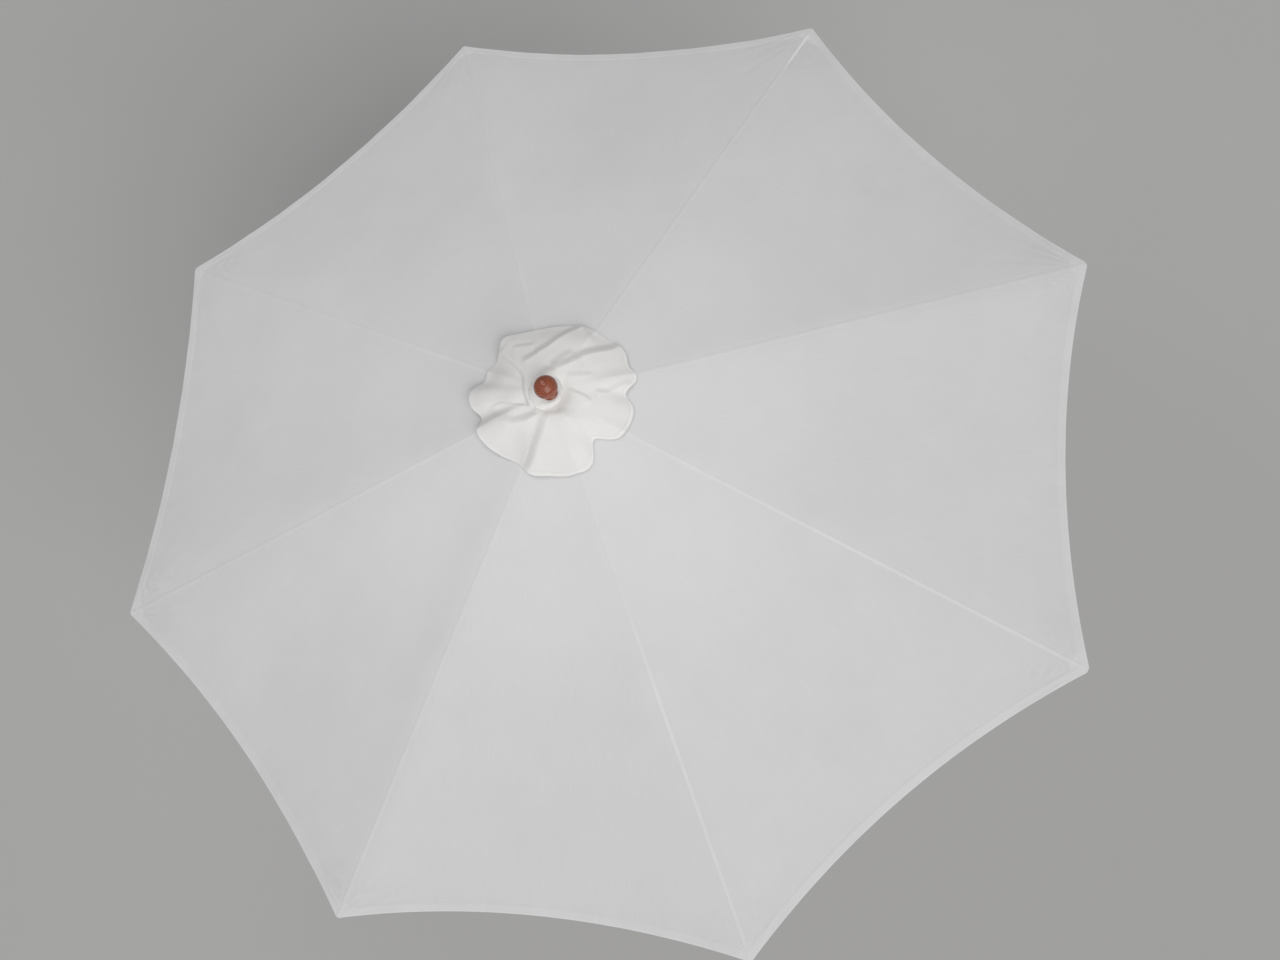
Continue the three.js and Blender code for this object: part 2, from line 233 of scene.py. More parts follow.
def cloth(name, light, dark, hem_width):
    """Plain-woven canvas. 'weave' holds metres along and across the panel; 'seam' holds metres
    along the rib and from the seam, and how much the seam's lighter doubled cloth and painted
    highlight show; 'hem' holds metres along the edge, in from it and from the corner."""
    n = Nodes(name)
    weave, seam, hem = n.attribute("weave"), n.attribute("seam"), n.attribute("hem")
    yarn = n.scaled(weave, (WAVE_PITCH / THREAD,) * 3)
    warp = n.wave(yarn, "BANDS", "X", 0.4, 2)
    weft = n.wave(yarn, "BANDS", "Y", 0.4, 2)
    slub = n.noise(n.scaled(weave, (14, 420, 1)), 1.0, 3)
    cloud = n.noise(weave, 3.2, 5, 0.6)
    fleck = n.noise(weave, 180, 2)
    tone = n.total((cloud, 0.5), (slub, 0.25), (fleck, 0.15))
    colour = n.mix(n.span(tone, 0.32, 0.58), dark, light)
    # doubled cloth at hem, corners and seams is lighter; on the seams it is partly painted
    # highlight, set rib by rib
    from_edge, from_corner, from_seam = n.part(hem, 1), n.part(hem, 2), n.part(seam, 1)
    doubled = 0.0
    for distance, width, shows in ((from_edge, hem_width, HEM_SHOWS), (from_edge, HEM_FOLD, 1.0),
                                   (from_corner, PATCH, PATCH_SHOWS),
                                   (from_seam, SEAM_HALF, n.part(seam, 2))):
        layer = n.span(distance, width - EASE, width + EASE, 1.0, 0.0)
        doubled = n.math("MAXIMUM", n.times(layer, shows), doubled)
    colour = n.mix(doubled, colour, n.scaled(colour, (LAYERS,) * 3))
    # a row of stitches beside the seam and two in the hem, over the threads; the gaps between
    # stitches get painted shade, as in needle holes
    height = n.total((warp, 0.175), (weft, 0.175))
    for fact, rows in ((seam, (0.9 * SEAM_HALF,)), (hem, (0.12 * hem_width, 0.88 * hem_width))):
        along, away = n.part(fact, 0), n.part(fact, 1)
        place = n.math("FRACT", n.math("DIVIDE", along, STITCH))
        dash = n.math("LESS_THAN", place, STITCH_SHARE)
        for row in rows:
            near = n.math("ABSOLUTE", n.math("SUBTRACT", away, row))
            line = n.span(near, *STITCH_HALF, 1.0, 0.0)
            stitch = n.times(line, dash)
            painted_hole_shade = n.math("SUBTRACT", line, stitch)
            colour = n.mix(n.times(stitch, 0.5), colour, STITCH_COLOUR)
            # painted shade in the needle holes between stitches
            colour = n.mix(n.times(painted_hole_shade, 0.3), colour, shaded(dark, 0.86))
            height = n.math("ADD", height, n.times(stitch, 2.0))
    return n.finish({
        "Base Color": colour, "Roughness": n.span(tone, 0.2, 0.7, 0.82, 0.94),
        "Normal": n.bump(height, 0.12 * MM, 0.8), "Sheen Weight": 0.12, "Sheen Roughness": 0.5,
        "Specular IOR Level": 0.18,
    })


def wood(name, light, dark, gloss, ring_pitch=7 * MM):
    """Turned or sawn hardwood. 'grain' holds metres, with x along the grain."""
    n = Nodes(name)
    grain = n.attribute("grain")
    figure = n.noise(n.scaled(grain, (3, 40, 40)), 1.0, 4, 0.6)
    shift = n.scaled(n.times(figure, 6 * MM), (0.0, 1.0, 1.0))
    bent = n.add("VectorMath", {0: grain, 1: shift}, operation="ADD")
    ring = WAVE_PITCH / ring_pitch
    rings = n.wave(n.scaled(bent, (0.15 * ring, ring, ring)), "RINGS", "X", 2.2, 3)
    pores = n.noise(n.scaled(grain, (60, 1900, 1900)), 1.0, 3, 0.7)
    streak = n.noise(n.scaled(grain, (5, 260, 260)), 1.0, 4, 0.6)
    patch = n.noise(grain, 11, 3)
    tone = n.total((rings, 0.304), (streak, 0.496), (patch, 0.2))
    colour = n.mix(n.span(tone, 0.25, 0.75), dark, light)
    between = n.span(pores, 0.34, 0.46)
    pore = n.math("SUBTRACT", 1.0, between)
    colour = n.mix(n.times(pore, 0.55), colour, shaded(dark, 0.45))
    # handled edges have lost some varnish
    point = n.add("NewGeometry", {}, "Pointiness")
    worn = n.times(n.span(point, 0.53, 0.60), n.noise(grain, 70, 4))
    colour = n.mix(n.times(worn, 0.55), colour, shaded(light, 1.45))
    height = n.total((between, 0.6), (streak, 0.5))
    return n.finish({
        "Base Color": colour, "Roughness": n.math("ADD", n.times(streak, 0.16), gloss),
        "Normal": n.bump(height, 0.15 * MM, 0.7), "Coat Weight": 0.25, "Coat Roughness": 0.25,
    })


def metal(name, bright, dull, roughness):
    """Brushed metal, tarnished in patches; 'grain' holds metres, with x along the brushing."""
    n = Nodes(name)
    grain = n.attribute("grain")
    lines = n.noise(n.scaled(grain, (30, 2600, 2600)), 1.0, 3)
    tarnish = n.noise(grain, 45, 6, 0.65)
    colour = n.mix(n.span(tarnish, 0.38, 0.66), bright, dull)
    dulled = n.span(tarnish, 0.3, 0.7, roughness, roughness + 0.2)
    return n.finish({
        "Base Color": colour, "Roughness": n.math("ADD", n.times(lines, 0.12), dulled),
        "Normal": n.bump(lines, 0.04 * MM, 0.6), "Metallic": 1.0,
    })


HEM = 21 * MM
CAP_HEM = 10 * MM
CANOPY = cloth("canopy_canvas", (0.815, 0.815, 0.825), (0.775, 0.772, 0.782), HEM)
CAP = cloth("vent_cap_canvas", (0.885, 0.878, 0.862), (0.835, 0.826, 0.806), CAP_HEM)
POLE_WOOD = wood("oiled_hardwood", (0.47, 0.27, 0.125), (0.27, 0.135, 0.055), 0.30)
HUB_WOOD = wood("stained_hardwood", (0.30, 0.135, 0.06), (0.15, 0.06, 0.028), 0.28)
FINIAL_WOOD = wood("varnished_redwood", (0.40, 0.115, 0.055), (0.20, 0.045, 0.024), 0.24, 4 * MM)
BRASS = metal("brushed_brass", (0.78, 0.57, 0.25), (0.42, 0.29, 0.12), 0.24)
STEEL = metal("drawn_steel", (0.62, 0.62, 0.63), (0.40, 0.39, 0.38), 0.26)


# ---- Mesh helpers ----
def link(name, mesh, material):
    mesh.materials.clear()
    mesh.materials.append(material)
    return put(name, mesh)


def stands(piece, body, node):
    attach(piece, body)
    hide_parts(node)


def give(mesh, name, values):
    attribute = mesh.attributes.new(name, "FLOAT_VECTOR", "POINT")
    attribute.data.foreach_set("vector", np.asarray(values, np.float32).ravel())


def unit(vectors):
    return vectors / np.maximum(np.linalg.norm(vectors, axis=-1, keepdims=True), 1e-12)


def slab(name, top, normals, thickness, facts, material, ring=False):
    """A closed two-layer sheet over a grid of points; its thickness hangs below the top. Rows run
    inwards and columns anticlockwise from above; in a ring, rows run outwards and columns all the
    way round."""
    rows, columns, _ = top.shape
    count = rows * columns
    index = np.arange(count).reshape(rows, columns)
    if ring:
        after = np.roll(index, -1, axis=1)
        upper = [index[:-1], index[1:], after[1:], after[:-1]]
        start = np.concatenate([index[0], after[-1]])
        end = np.concatenate([after[0], index[-1]])
    else:
        upper = [index[:-1, :-1], index[:-1, 1:], index[1:, 1:], index[1:, :-1]]
        start = [index[:, 0], index[-1, 1:], index[-2::-1, -1], index[0, -2:0:-1]]
        start = np.concatenate(start)
        end = np.roll(start, -1)
    upper = np.stack(upper, -1).reshape(-1, 4)
    walls = np.stack([start, end, end + count, start + count], 1)
    faces = np.concatenate([upper, upper[:, ::-1] + count, walls])
    under = top - normals * np.asarray(thickness)[..., None]
    points = np.concatenate([top.reshape(-1, 3), under.reshape(-1, 3)])
    mesh = bpy.data.meshes.new(name)
    mesh.from_pydata(points.tolist(), [], faces.tolist())
    smooth = np.ones(len(faces), bool)
    smooth[-len(walls):] = ring
    mesh.polygons.foreach_set("use_smooth", smooth)
    for key, values in facts.items():
        flat = values.reshape(-1, 3)
        give(mesh, key, np.concatenate([flat, flat]))
    own = np.concatenate([normals.reshape(-1, 3), -normals.reshape(-1, 3)])[faces]
    own[-len(walls):] = 0  # the walls keep Blender's own normals
    mesh.normals_split_custom_set(own.reshape(-1, 3).tolist())
    mesh.update()
    return link(name, mesh, material)


def cloth_facts(weave, seam, hem):
    """The three vectors that the cloth's material reads at each point."""
    shape = np.broadcast(*weave, *seam, *hem).shape
    return {name: np.stack([np.broadcast_to(value, shape) for value in vector], -1)
            for name, vector in (("weave", weave), ("seam", seam), ("hem", hem))}


def smoothstep(low, high, value):
    share = np.clip((value - low) / (high - low), 0, 1)
    return share * share * (3 - 2 * share)


def spoke(number):
    """The azimuth of a rib; ribs are numbered from 1."""
    return (number - 1) * STEP


# ---- Canopy ----
CLOTH = 1.2 * MM
SEAM_TAPE = 2.3 * MM  # extra thickness of the pocket that holds the rib
SAG = 14 * MM
BLUNT = 3 * MM  # what a corner lacks of a sharp point
# how far each panel's free edge curves in, from the panel after rib 1 on
HOLLOWS = np.array((58, 52, 33, 45, 54, 57, 54, 55)) * MM
# how light each rib's seam line is at these distances from the pole: doubled cloth, and partly
# painted highlight where light catches the seam
SEAM_PLACES = (0.4, 0.75, 1.2)
SEAM_LAYERS_AND_HIGHLIGHT = ((0, 0, 0), (0.3, 0.1, 0), (0.4, 0, 0), (0.5, 0, 0),
              (0, 0.1, 0.4), (0, 0.9, 0.7), (0.5, 1, 1), (0, 0, 0))
# how wide the cloth looks rounded over each rib, as a share of the distance from the pole: near
# the pole, and at the rim
RIDGE_BLUR = np.array(((0.2, 0.2), (0.06, 0.06), (0.2, 0.2), (0.03, 0.2),
                       (0.08, 0.02), (0.05, 0.05), (0.1, 0.1), (0.06, 0.02)))
TIP_REACH = np.array((7, -6, 10, -3, -6, -6, 14, 12)) * MM  # how far each corner passes the rim
CREASE_ROUND = 3 * MM
# how high the cloth's unevenness stands
SWELL = 0.6 * MM
FAN = 0.3 * MM
FLUTTER = 0.5 * MM
DOUBLING = 0.4 * MM
PUCKER = 0.08 * MM
PINCH = 3.5 * MM
draw = np.random.default_rng(11)
SWELLS = [(draw.uniform(0.28, 0.75), draw.uniform(0, math.pi), draw.uniform(0, math.tau),
           draw.uniform(0.5, 1.0)) for _ in range(7)]
CORNER_PHASE = draw.uniform(0, math.tau, RIBS)
HEM_PHASE = draw.uniform(0, math.tau, RIBS)


def rib_frame(px, py):
    """Each point's nearest rib, its place along that rib and its signed distance from it."""
    azimuth = np.arctan2(py, px)
    number = np.round(azimuth / STEP)
    local = azimuth - number * STEP
    radius = np.hypot(px, py)
    return number.astype(int) % RIBS, radius * np.cos(local), radius * np.sin(local)


def panel_frame(along, off):
    """Place down the panel's middle line, and the distance from that line."""
    side = np.abs(off)
    down = along * COS + side * SIN
    across = along * SIN - side * COS
    return down, across


CHORD = (RIM + BLUNT) * COS
HALF_CHORD = (RIM + BLUNT) * SIN


def panel_of(number, off):
    """The panel that a point lies on, numbered by the rib before it, from 0."""
    return np.where(off >= 0, number, number - 1) % RIBS


def edge_line(across, hollow, near, far):
    """The free edge's place down the panel's middle line; across is positive towards the near
    rib."""
    share = across / HALF_CHORD
    reach = COS * (near * (1 + share) + far * (1 - share)) / 2
    return CHORD + reach - hollow * (1 - share ** 2)


def edge_distance(number, along, off):
    """How far in from the canopy's free edge a point lies."""
    down, across = panel_frame(along, off)
    hollow = HOLLOWS[panel_of(number, off)]
    near = TIP_REACH[number]
    far = TIP_REACH[(number + np.where(off >= 0, 1, -1)) % RIBS]
    slope = 2 * hollow * across / HALF_CHORD ** 2
    from_edge = (edge_line(across, hollow, near, far) - down) / np.sqrt(1 + slope ** 2)
    return np.minimum(from_edge, RIM + near - along)


def corner_crease(along, off):
    """A pinched line in the cloth, close beside the seam at one corner: narrow on the seam's side
    and wide on the other."""
    start, end = 15 * MM, 170 * MM
    inward = RIM - along
    taper = smoothstep(start, start + 0.03, inward) * smoothstep(end, end - 0.05, inward)
    gap = off + 4 * MM
    return -PINCH * taper * np.exp(-np.abs(gap) / np.where(gap > 0, 2.5 * MM, 28 * MM))


def canopy_height(px, py, sag=SAG):
    """The top of the cloth over any plan points."""
    number, along, off = rib_frame(px, py)
    side = np.abs(off)
    across = panel_frame(along, off)[1]
    radius = np.hypot(px, py)
    rounded = np.sqrt(side ** 2 + CREASE_ROUND ** 2) - CREASE_ROUND
    height = CROWN_Z - PANEL_FALL * (along * COS + rounded * SIN)
    middle = 1 - np.arctan2(side, along) / HALF
    height -= sag * (radius / RIM) * (1 - middle ** 2)
    # slow swells of unevenly stretched cloth
    free = smoothstep(0, 0.11, side) * smoothstep(VENT, VENT + 0.25, radius)
    for length, direction, phase, size in SWELLS:
        travel = px * math.cos(direction) + py * math.sin(direction)
        height += SWELL * size * free * np.sin(math.tau * travel / length + phase)
    # tension folds fan out from each corner
    from_corner = np.hypot(RIM - along, side)
    fan = np.arctan2(side, RIM - along + 1e-6)
    pull = np.exp(-from_corner / 0.19) * smoothstep(0.02, 0.07, from_corner)
    phase = CORNER_PHASE[number]
    waves = np.sin(27 * fan + phase) + 0.5 * np.sin(43 * fan + 2 * phase)
    height += FAN * pull * waves * smoothstep(0.006, 0.03, side)
    # the hem's slight flutter
    away = edge_distance(number, along, off)
    phase = HEM_PHASE[panel_of(number, off)]
    along_edge = across * np.where(off >= 0, 1, -1)
    flutter = np.sin(math.tau * along_edge / 0.171 + phase)
    flutter += 0.6 * np.sin(math.tau * along_edge / 0.083 + 2.2 * phase)
    flutter *= np.exp(-np.clip(away, 0, 1) / 0.05) * smoothstep(0.02, 0.12, side)
    height += FLUTTER * flutter
    # seam over the rib, with small puckers
    height += DOUBLING * np.exp(-((side / SEAM_HALF) ** 4))
    pucker = np.exp(-((side - 9 * MM) / (5 * MM)) ** 2)
    height += PUCKER * pucker * np.sin(along / (9 * MM) + 1.7 * np.sin(along / 0.05))
    # turned hem and doubled corner
    height += DOUBLING * smoothstep(HEM + 1.2 * MM, HEM - 1.2 * MM, away)
    height += DOUBLING * smoothstep(PATCH + 2 * MM, PATCH - 2 * MM, from_corner)
    return height + np.where(number == 0, corner_crease(along, off), 0)


def canopy_normal(px, py):
    """The direction the cloth is shaded by: that of its height without the sag, so it runs on
    across the cuts between pieces, eased over the ribs, where the cloth is pulled taut."""
    reach = 0.6 * MM
    slope_x = canopy_height(px + reach, py, 0) - canopy_height(px - reach, py, 0)
    slope_y = canopy_height(px, py + reach, 0) - canopy_height(px, py - reach, 0)
    slope_x, slope_y = slope_x / (2 * reach), slope_y / (2 * reach)
    number, along, off = rib_frame(px, py)
    near, far = RIDGE_BLUR[number, 0], RIDGE_BLUR[number, 1]
    blur = along * (near + (far - near) * np.clip(along / RIM, 0, 1))
    from_rib = np.arctan2(np.abs(off), along) / HALF
    eased = (1 - np.abs(off) / np.hypot(off, blur)) * (1 - from_rib ** 2)
    eased = eased * PANEL_FALL * SIN * off / np.hypot(off, CREASE_ROUND)
    slope_x -= eased * np.sin(number * STEP)
    slope_y += eased * np.cos(number * STEP)
    return unit(np.stack([-slope_x, -slope_y, np.ones_like(slope_x)], -1))


def edge_radius(angle, hollow, near, far):
    """Where a ray at that angle from its rib meets the panel's free edge."""
    off_middle = HALF - angle
    radius = np.full_like(angle, RIM)
    for _ in range(8):
        radius = edge_line(radius * np.sin(off_middle), hollow, near, far) / np.cos(off_middle)
    return np.minimum(radius, (RIM + near) / np.cos(angle))


STRIP = 12 * MM  # half the width of the cloth that lies flat on a rib, however far it folds
SEAM_COLUMNS = np.array((0, 2, 3.5, 4.5, 5.5, 7, 9, 12, 16, 21, 27)) * MM
FREE_COLUMNS = 26
HEM_ROWS = np.array((0, 1, 3, 8, 14, 19, 20.2, 21.6, 23, 27, 34, 43, 55, 70)) * MM
FREE_ROWS = 74


def half_gore(hollow, near, far):
    """Plan of half a gore in its rib's frame: rows from the edge in, columns from the rib out."""
    share = np.linspace(0, 1, FREE_COLUMNS + 1)[1:]
    ends = []
    for radius in (RIM, VENT):
        seam = np.arcsin(SEAM_COLUMNS / radius)
        ends.append(np.concatenate([seam, seam[-1] + (HALF - seam[-1]) * share]))
    rim = edge_radius(ends[0], hollow, near, far)
    outer = np.stack([rim * np.cos(ends[0]), rim * np.sin(ends[0])], -1)
    inner = VENT * np.stack([np.cos(ends[1]), np.sin(ends[1])], -1)
    reach = inner - outer
    length = np.linalg.norm(reach, axis=-1)
    tangent = unit(np.gradient(outer, axis=0))
    square = np.abs(reach[:, 0] * tangent[:, 1] - reach[:, 1] * tangent[:, 0]) / length
    hem = HEM_ROWS[:, None] / np.maximum(square, 0.6) / length
    rest = hem[-1] + (1 - hem[-1]) * np.linspace(0, 1, FREE_ROWS + 1)[1:, None]
    fraction = np.concatenate([hem, rest])
    return outer + reach * fraction[..., None]


def turned(plan, azimuth):
    """Plan points in a rib's own frame, as world x and y."""
    cos, sin = math.cos(azimuth), math.sin(azimuth)
    return plan[0] * cos - plan[1] * sin, plan[0] * sin + plan[1] * cos


def gore(number):
    """A rib's share of the canopy: a strip that lies on the rib and half a panel each side."""
    index = number - 1
    tip = TIP_REACH[index]
    right = half_gore(HOLLOWS[index], tip, TIP_REACH[(index + 1) % RIBS])
    left = half_gore(HOLLOWS[index - 1], tip, TIP_REACH[index - 1])[:, :0:-1] * (1, -1)
    plan = np.concatenate([left, right], axis=1)
    along, off = plan[..., 0], plan[..., 1]
    px, py = turned((along, off), spoke(number))
    top = np.stack([px, py, canopy_height(px, py)], -1)
    side = np.abs(off)
    down, across = panel_frame(along, off)
    away = edge_distance(np.full(along.shape, index), along, off)
    # the seam's lighter line, partly painted highlight
    shows = np.interp(along, SEAM_PLACES, SEAM_LAYERS_AND_HIGHLIGHT[index])
    facts = cloth_facts((down, across, 0), (along, side, shows),
                        (across, away, np.hypot(RIM + tip - along, off)))
    taped = smoothstep(11 * MM, 7 * MM, side) * smoothstep(0, 0.02, along - VENT)
    thickness = CLOTH + SEAM_TAPE * taped
    normals = canopy_normal(px, py)
    rib_column = left.shape[1]
    strip = int(np.searchsorted(SEAM_COLUMNS, STRIP))

    def cut(name, columns, flat, area, rests_on):
        took = {key: value[:, columns] for key, value in facts.items()}
        piece = slab(name, top[:, columns], normals[:, columns], thickness[:, columns], took,
                     CANOPY)
        stands(piece, f"rib_{number}", f"canopy_gore_{number}")
        return piece

    seam_name = f"canopy_seam_{number}"
    first, last = rib_column - strip, rib_column + strip
    cut(seam_name, slice(first, last + 1), (0.028, 1.24), 0.0325, f"rib_{number}")
    for hand, columns, fold_line in (("left", slice(0, first + 1), -STRIP),
                                     ("right", slice(last, None), STRIP)):
        piece = cut(f"canopy_{hand}_{number}", columns, (0.52, 1.27), 0.31, seam_name)
        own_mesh(piece)


POCKET = 40 * MM  # how far a corner's pocket reaches along its rib
POCKET_PAST = 2.5 * MM  # from the rib's end to the pocket's
POCKET_SEAT = 0.8 * MM  # how far under the canopy's top the pocket starts
POCKET_SIDE = 2.1 * MM  # from the rib's side to the pocket's
POCKET_SQUARE = 0.2  # the exponent of its round-cornered section
POCKET_COLUMNS = 25
POCKET_ROWS = 9
POCKET_CLOTH = 1.1 * MM
POCKET_ROOM = 3 * MM  # from the rib's underside to the pocket's outer face
POCKET_TAPER = 0.105  # how fast the tapered rib gets deeper towards the pole
# rows that close the pocket's end: share of its depth, then how far back it lies (mm)
POCKET_END = ((0, 0), (0.3, 0), (0.6, 0.1), (0.82, 0.4), (0.94, 1.1), (1, 2.6))


def pocket(number):
    """A sock of cloth, sewn under the canopy's corner, that holds the rib's end."""
    low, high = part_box("rib_1")
    closing = np.array(POCKET_END)
    length = np.linspace(6 * MM, POCKET, POCKET_ROWS)
    back = np.concatenate([closing[:, 1] * MM, length])[:, None]
    share = np.concatenate([closing[:, 0], np.ones(POCKET_ROWS)])[:, None]
    turn = np.linspace(0, math.pi, POCKET_COLUMNS)
    across = np.sign(np.cos(turn)) * np.abs(np.cos(turn)) ** POCKET_SQUARE
    hang = np.abs(np.sin(turn)) ** POCKET_SQUARE
    rib_depth = (CROWN_Z - FALL * high.x - low.z) * math.cos(SLOPE)
    deepest = rib_depth + POCKET_ROOM + POCKET_TAPER * back
    depth = POCKET_SEAT + share * (deepest - POCKET_SEAT) * hang
    along = high.x + POCKET_PAST - back * math.cos(SLOPE) - depth * math.sin(SLOPE)
    off = (high.y + POCKET_SIDE) * (0.8 + 0.2 * share) * across
    px, py = turned((along, off), spoke(number))
    outer = np.stack([px, py, canopy_height(px, py) - depth / math.cos(SLOPE)], -1)
    normals = unit(np.cross(np.gradient(outer, axis=1), np.gradient(outer, axis=0)))
    arc = turn * 12 * MM
    facts = cloth_facts((back, arc, 0), (back, FAR, 0), (arc, POCKET - back, 0))
    piece = slab(f"canopy_pocket_{number}", outer, normals, POCKET_CLOTH, facts, CANOPY)
    stands(piece, f"rib_{number}", f"canopy_gore_{number}")


for number in range(1, RIBS + 1):
    gore(number)
    pocket(number)


# ---- Vent cap ----
cap_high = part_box("vent_cap_centre")[1]
CAP_TOP_Z, CAP_CENTRE = cap_high.z, cap_high.x
CAP_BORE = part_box("finial_stud")[1].x + 0.3 * MM
CAP_CLOTH = 1.1 * MM
CAP_TURNS = 72 * RIBS
CAP_ROWS = 96
CAP_INNER_ROWS = 22
SHOULDER_ROWS = 38  # rows out to here make the cap's shoulders; the skirt pieces past them ride the ribs
CAP_GAP = 1.2 * MM  # the least room between the cap and the canopy
CAP_LEVEL = 46 * MM  # the cap lies level out to this radius
CAP_FREE = (34 * MM, 58 * MM)  # its folds rise between these radii, past the collar
# the cap falls by these shares of its height, straight and along a curve of this power
CAP_STRAIGHT, CAP_CURVED, CAP_POWER = 0.25, 0.75, 2.1
CRUMPLE = 0.22 * MM
CRUMPLES = 14
# the cap's loose edge: azimuth (degrees), radius (mm) and clearance over the canopy (mm)
CAP_EDGE = (
    (10, 203, 6), (30, 200, 6), (45, 201, 7), (57, 213, 14), (66, 224, 23), (75, 200, 20),
    (81, 196, 4), (90, 200, 4), (98, 196, 8), (108, 221, 25), (117, 215, 23), (127, 190, 6),
    (135, 204, 22), (148, 200, 20), (160, 188, 7), (178, 178, 3), (188, 190, 3), (204, 187, 3),
    (220, 192, 3), (236, 187, 3), (250, 144, 3), (264, 185, 3), (278, 194, 3), (290, 190, 3),
    (300, 172, 3), (312, 203, 3), (322, 195, 3), (334, 206, 3), (350, 199, 3),
)
# each fold: its height and the widths of its slope and its crest (mm), then radius (mm) and azimuth
# (degrees) from the collar out; the cloth stands up on the line's clockwise side, or on the other
# side where the height is negative
FOLDS = (
    (8, 26, 34, ((26, 80), (50, 46), (62, 18), (100, -6), (132, -12), (179, -21), (202, -22))),
    (8, 22, 34, ((122, 71), (115, 58), (123, 42), (135, 32), (152, 25), (175, 17), (198, 10))),
    (5, 9, 16, ((44, 190), (50, 165), (56, 140), (62, 112), (72, 97), (91, 79), (128, 74),
                (192, 74))),
    (-2.5, 7, 16, ((49, 152), (85, 131), (133, 121), (169, 124))),
    (-8, 24, 26, ((34, 200), (72, 168), (98, 158), (128, 146), (166, 128))),
    (-8, 28, 42, ((24, 215), (52, 203), (70, 200), (106, 195), (158, 191), (190, 187))),
    (3, 9, 22, ((40, 315), (56, 300), (84, 290), (104, 281))),
    (4, 14, 20, ((99, 300), (131, 299), (149, 303), (180, 307))),
    (2, 14, 22, ((57, 351), (81, 330), (120, 322))),
    (-3, 20, 26, ((30, 232), (65, 241), (94, 247), (126, 246))),
    (4, 20, 26, ((70, 30), (98, 12), (126, 2))),
    (2.5, 12, 18, ((178, 66), (162, 56), (150, 46))),
)
OPEN_FOLD = 170  # a fold that reaches this radius (mm) runs out through the edge
FOLD_TOP = 2 * MM
FOLD_POINTS = 90


def hermite(t, start, end, start_slope, end_slope):
    rise = t * t * (3 - 2 * t)
    bend = t * (1 - t) * ((1 - t) * start_slope - t * end_slope)
    return (1 - rise) * start + rise * end + bend


def cap_edge(turn):
    """Radius and clearance of the cap's edge, as smooth curves through its points."""
    knots = np.array(CAP_EDGE, float)
    knots = np.concatenate([knots[-2:] - (360, 0, 0), knots, knots[:2] + (360, 0, 0)])
    at, values = knots[:, 0], knots[:, 1:] * MM
    turn = turn % 360
    start = np.searchsorted(at, turn, side="right") - 1
    width = (at[start + 1] - at[start])[:, None]
    slopes = np.gradient(values, at, axis=0)
    return hermite((turn - at[start])[:, None] / width, values[start], values[start + 1],
                   width * slopes[start], width * slopes[start + 1]).T


def curve_through(points):
    """A smooth line through points given as radius and azimuth, as plan points in metres."""
    radius, turn = np.array(points, float).T
    turn = np.radians(turn)
    flat = MM * np.stack([radius * np.cos(turn), radius * np.sin(turn)], 1)
    padded = np.concatenate([2 * flat[:1] - flat[1:2], flat, 2 * flat[-1:] - flat[-2:-1]])
    where = np.linspace(0, len(flat) - 1 - 1e-6, FOLD_POINTS)
    start = where.astype(int)
    slopes = np.gradient(padded, axis=0)
    return hermite((where - start)[:, None], padded[start + 1], padded[start + 2],
                   slopes[start + 1], slopes[start + 2])


def cap_surface(turn):
    """The whole cap's points, with their distances from the pole and from its edge: rows outwards,
    columns round the circle."""
    edge, clearance = cap_edge(np.degrees(turn))
    inner = np.linspace(0, 1, CAP_INNER_ROWS + 1)[:, None]
    outer = np.linspace(0, 1, CAP_ROWS + 1)[1:, None]
    radius = np.concatenate([CAP_BORE + (CAP_CENTRE - CAP_BORE) * inner + 0 * turn,
                             CAP_CENTRE + (edge - CAP_CENTRE) * outer])
    px, py = radius * np.cos(turn), radius * np.sin(turn)
    share = np.clip((radius - CAP_LEVEL) / (edge - CAP_LEVEL), 0, 1)
    edge_z = canopy_height(px[-1], py[-1]) + clearance + CAP_CLOTH
    fall = CAP_STRAIGHT * share + CAP_CURVED * share ** CAP_POWER
    height = CAP_TOP_Z - (CAP_TOP_Z - edge_z) * fall
    free = smoothstep(*CAP_FREE, radius)
    place = np.stack([px, py], -1)
    for rise, slope, width, points in FOLDS:
        line = curve_through(points)
        apart = np.linalg.norm(place[..., None, :] - line, axis=-1)
        nearest = apart.argmin(-1)
        heading = unit(np.gradient(line, axis=0))[nearest]
        gap = place - line[nearest]
        side = gap[..., 0] * heading[..., 1] - gap[..., 1] * heading[..., 0]
        side = side * math.copysign(1, rise)
        reach = np.abs((gap * heading).sum(-1))
        progress = nearest / (len(line) - 1)
        size = smoothstep(0, 0.16, progress) * np.exp(-(reach / (9 * MM)) ** 2)
        if points[-1][0] < OPEN_FOLD:
            size = size * smoothstep(1, 0.75, progress)
        bank = smoothstep(-slope * MM, FOLD_TOP, side) * np.exp(-np.maximum(side, 0) / (width * MM))
        dip = -0.12 * np.exp(-((side / MM + slope) / (0.5 * slope)) ** 2)
        height = height + abs(rise) * MM * size * free * (bank + dip)
    # small crumples
    crumple = np.random.default_rng(5)
    for _ in range(CRUMPLES):
        length, heading = crumple.uniform(0.035, 0.11), crumple.uniform(0, math.tau)
        phase = crumple.uniform(0, math.tau)
        travel = px * math.cos(heading) + py * math.sin(heading)
        beside = px * math.sin(heading) - py * math.cos(heading)
        bend = 6 * MM * np.sin(math.tau * beside / 0.11 + phase)
        wave = np.sin(math.tau * (travel + bend) / length + phase)
        height = height + CRUMPLE * free * wave
    height = np.maximum(height, canopy_height(px, py) + CAP_CLOTH + CAP_GAP)
    # turned hem
    away = edge - radius
    height = height + DOUBLING * smoothstep(CAP_HEM + 1 * MM, CAP_HEM - 1 * MM, away)
    return np.stack([px, py, height], -1), radius, away


def grid_normals(points):
    """Normals of a grid whose columns run all the way round."""
    across = (np.roll(points, -1, axis=1) - np.roll(points, 1, axis=1)) / 2
    return unit(np.cross(np.gradient(points, axis=0), across))


